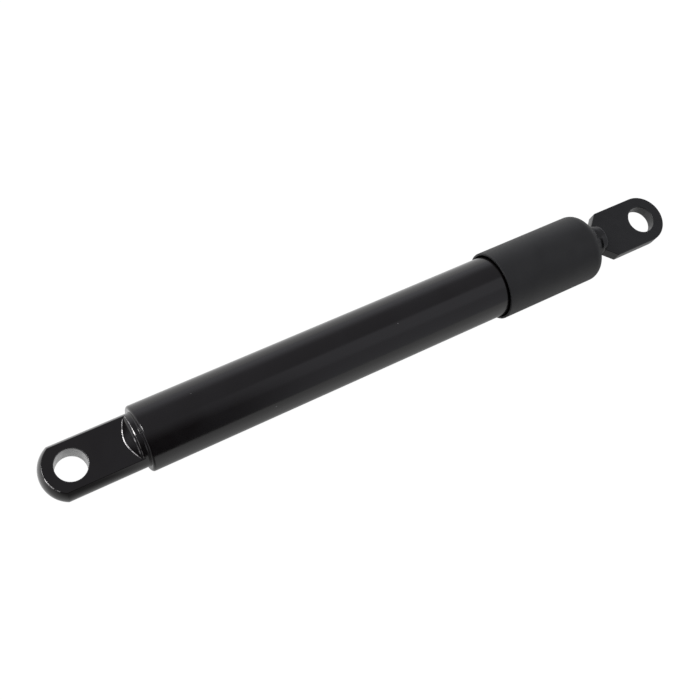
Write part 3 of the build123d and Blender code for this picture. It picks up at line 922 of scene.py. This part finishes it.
FINISHES = {
    "tube_paint": tube_paint(),
    "eye_paint": eye_paint(),
    "shroud_coat": shroud_coat(),
    "plate_steel": plate_finish(),
    "rod_steel": bare_metal("rod_ground_steel", STEEL, rough=0.12, marks=0.08, depth=0.0006, grain=0.1),
    "plain_steel": bare_metal("plain_stamped_steel", DULL_STEEL, rough=0.35),
    "sintered_iron": bare_metal("sintered_iron", IRON, rough=0.5, marks=0.5, depth=0.004, grain=0.15),
    "bush_bronze": bare_metal("bush_sintered_bronze", BRONZE, rough=0.4, grain=0.12),
    "guide_plastic": moulded("guide_glass_filled_nylon", NYLON, rough=0.45, grain=0.25, depth=0.006),
    "ring_plastic": moulded("ring_filled_fluoroplastic", FLUOROPLASTIC, rough=0.4, grain=0.2, depth=0.003),
    "seal_rubber": moulded("seal_nitrile_rubber", RUBBER, rough=0.55, grain=0.12, depth=0.004),
}

pressure_tube(FINISHES["tube_paint"])
cylinder_eye(FINISHES["eye_paint"])
shroud(FINISHES["shroud_coat"])
rod_eye(FINISHES["plate_steel"])

for part in frame["record"]["subparts"]:
    carried = frame["nodes"][part["node"]]
    carried.data.materials.clear()
    carried.data.materials.append(FINISHES[part["material_slot"]])


# ---- floor, light and camera -----------------------------------------------------------------
FLOOR_HALF = 3.0  # in metres
FLOOR_GAP = 0.0002  # in metres, under the strut
# How bright the floor looks in the strut's gloss on the -Y side, far from the strut and close to it,
# and the distances across, in metres, between which it changes: a painted shadow of the strut in the floor's
# glow, dimmest close beside the tube and far out beside the eye.
PAINTED_SHADOW_TUBE_FAR, PAINTED_SHADOW_TUBE_NEAR = 0.73, 0.42
BESIDE_TUBE_Y = (-0.036, -0.012)
PAINTED_SHADOW_EYE_FAR, PAINTED_SHADOW_EYE_NEAR = 0.16, 0.5
BESIDE_EYE_Y = (-0.040, -0.010)
EYE_TO_TUBE_X = (0.010, 0.032)  # where beside the eye turns into beside the tube
PAINTED_LIGHT_OTHER_SIDE = 0.5  # painted light: how much brighter it looks on the +Y side
OTHER_SIDE_Y = (-0.012, 0.006)
# Brightness of the studio's parts, where the floor is 1 to the camera.
CEILING, SHADOW, GLOW, FAR_GLOW = 0.37, 0.02, 0.45, 1.0
PANEL_HIGH, PANEL_LOW = 0.68, 0.54
# Where each part starts and ends: leans in degrees, and parts of a unit direction along +X and up.
PANEL_LEAN, PANEL_STEP_LEAN = (-2.0, 7.0), (-44.0, -30.0)
SHADOW_LEAN, GLOW_LEAN = (-46.0, 4.0), (50.0, 80.0)
PANEL_ALONG = (0.19, 0.34)
FAR_GLOW_ALONG, FAR_GLOW_UP = (-0.6, -0.95), (0.45, 0.15)
CAMERA_LENS = 55.265  # in millimetres, on a sensor 36 wide
CAMERA_PLACE = (-0.029746, -0.073989, 0.326798)
CAMERA_TURN = (20.391, -13.331, -28.312)  # in degrees


def pale_floor():
    """A wide plain white floor just under the strut.

    The camera sees it white. In gloss its glow carries painted shade and light: a painted shadow of the strut
    makes it dimmer on the -Y side, most of all far out beside the eye, and painted light makes it brighter on
    the +Y side.
    """
    z = CAD_LOW.z - FLOOR_GAP
    half = FLOOR_HALF
    mesh = bpy.data.meshes.new("floor")
    corners = [(-half, -half, z), (half, -half, z), (half, half, z), (-half, half, z)]
    mesh.from_pydata(corners, [], [(0, 1, 2, 3)])
    f = Finish("floor_white")
    tree = f.tree
    parts = tree.nodes.new("ShaderNodeSeparateXYZ")
    feed(tree, parts.inputs[0], f.where)
    along, across = parts.outputs["X"], parts.outputs["Y"]
    # Painted shadow of the strut in the floor's glow, seen only in gloss: dimmer close beside the tube and
    # far out beside the eye.
    painted_shadow_by_tube = ease(tree, across, *BESIDE_TUBE_Y, PAINTED_SHADOW_TUBE_FAR, PAINTED_SHADOW_TUBE_NEAR)
    painted_shadow_by_eye = ease(tree, across, *BESIDE_EYE_Y, PAINTED_SHADOW_EYE_FAR, PAINTED_SHADOW_EYE_NEAR)
    painted_shadow_near_side = blend(tree, ease(tree, along, *EYE_TO_TUBE_X), painted_shadow_by_eye, painted_shadow_by_tube)
    # Painted light: the glow is brighter on the +Y side.
    painted_floor_light_and_shade = calc(tree, "ADD", painted_shadow_near_side, ease(tree, across, *OTHER_SIDE_Y, 0.0, PAINTED_LIGHT_OTHER_SIDE))
    seen = tree.nodes.new("ShaderNodeLightPath").outputs["Is Camera Ray"]
    tone = f.effect("cloudy", Size=400.0)["Value"]
    f.set(
        Base_Color=tint(tree, tone, (0.04, 0.04, 0.04), (0.05, 0.05, 0.05)),
        Roughness=0.9,
        Specular_IOR_Level=0.0,
        Emission_Color=(1.0, 1.0, 1.0),
        Emission_Strength=calc(tree, "MAXIMUM", painted_floor_light_and_shade, seen),
    )
    mesh.materials.append(f.material)
    floor = bpy.data.objects.new("floor", mesh)
    bpy.context.scene.collection.objects.link(floor)


def soft_box(name, place, aim, width, height, watts):
    """An area light at a place, in metres, turned to face a point."""
    light = bpy.data.lights.new(name, "AREA")
    light.shape = "RECTANGLE"
    light.size, light.size_y = width, height
    light.energy = watts
    lamp = bpy.data.objects.new(name, light)
    lamp.location = place
    lamp.rotation_mode = "QUATERNION"
    lamp.rotation_quaternion = (Vector(aim) - Vector(place)).to_track_quat("-Z", "Y")
    bpy.context.scene.collection.objects.link(lamp)


def studio_world():
    """Soft surroundings for light and gloss, and a pale backdrop for the camera alone.

    Brightness depends on the direction only: an even dim ceiling; on the -Y side a broad bright panel
    towards +X that fades into shadow towards -X; a glow low on the +Y side; and one low at the -X end.
    lean is how far a direction leans from straight up towards +Y, in degrees.
    """
    world = bpy.data.worlds.new("studio")
    world.use_nodes = True
    tree = world.node_tree
    parts = tree.nodes.new("ShaderNodeSeparateXYZ")
    feed(tree, parts.inputs[0], tree.nodes.new("ShaderNodeTexCoord").outputs["Generated"])
    along, side, up = parts.outputs
    lean = calc(tree, "MULTIPLY", calc(tree, "ARCTAN2", side, up), 180 / math.pi)
    panel_light = ease(tree, lean, *PANEL_STEP_LEAN, PANEL_LOW, PANEL_HIGH)
    panel = ease(tree, lean, *PANEL_LEAN, panel_light, CEILING)
    shadow = ease(tree, lean, *SHADOW_LEAN, SHADOW, CEILING)
    level = blend(tree, ease(tree, along, *PANEL_ALONG), shadow, panel)
    level = calc(tree, "ADD", level, ease(tree, lean, *GLOW_LEAN, 0.0, GLOW))
    low_glow = ease(tree, up, *FAR_GLOW_UP, 0.0, FAR_GLOW)
    level = calc(tree, "ADD", level, calc(tree, "MULTIPLY", ease(tree, along, *FAR_GLOW_ALONG), low_glow))
    dim = next(n for n in tree.nodes if n.type == "BACKGROUND")
    feed(tree, dim.inputs["Strength"], level)
    dim.inputs["Color"].default_value = (0.975, 0.98, 1.05, 1.0)
    pale = tree.nodes.new("ShaderNodeBackground")
    pale.inputs["Color"].default_value = (1.0, 1.0, 1.0, 1.0)
    seen = tree.nodes.new("ShaderNodeLightPath").outputs["Is Camera Ray"]
    pick = tree.nodes.new("ShaderNodeMixShader")
    out = next(n for n in tree.nodes if n.type == "OUTPUT_WORLD")
    feed(tree, pick.inputs[0], seen)
    feed(tree, pick.inputs[1], dim.outputs[0])
    feed(tree, pick.inputs[2], pale.outputs[0])
    feed(tree, out.inputs["Surface"], pick.outputs[0])
    bpy.context.scene.world = world


def camera():
    """Looks down on the strut from above its cylinder eye."""
    data = bpy.data.cameras.new("camera")
    data.lens = CAMERA_LENS
    data.sensor_width = 36.0
    data.clip_start, data.clip_end = 0.01, 20.0
    view = bpy.data.objects.new("camera", data)
    view.location = CAMERA_PLACE
    view.rotation_euler = [math.radians(a) for a in CAMERA_TURN]
    bpy.context.scene.collection.objects.link(view)
    bpy.context.scene.camera = view


pale_floor()
studio_world()
soft_box("key", place=(-0.38, 0.24, 0.62), aim=(0.02, 0, 0), width=0.15, height=0.34, watts=3.6)
camera()
bpy.context.scene.view_settings.view_transform = "Standard"
bpy.context.scene.view_settings.look = "None"
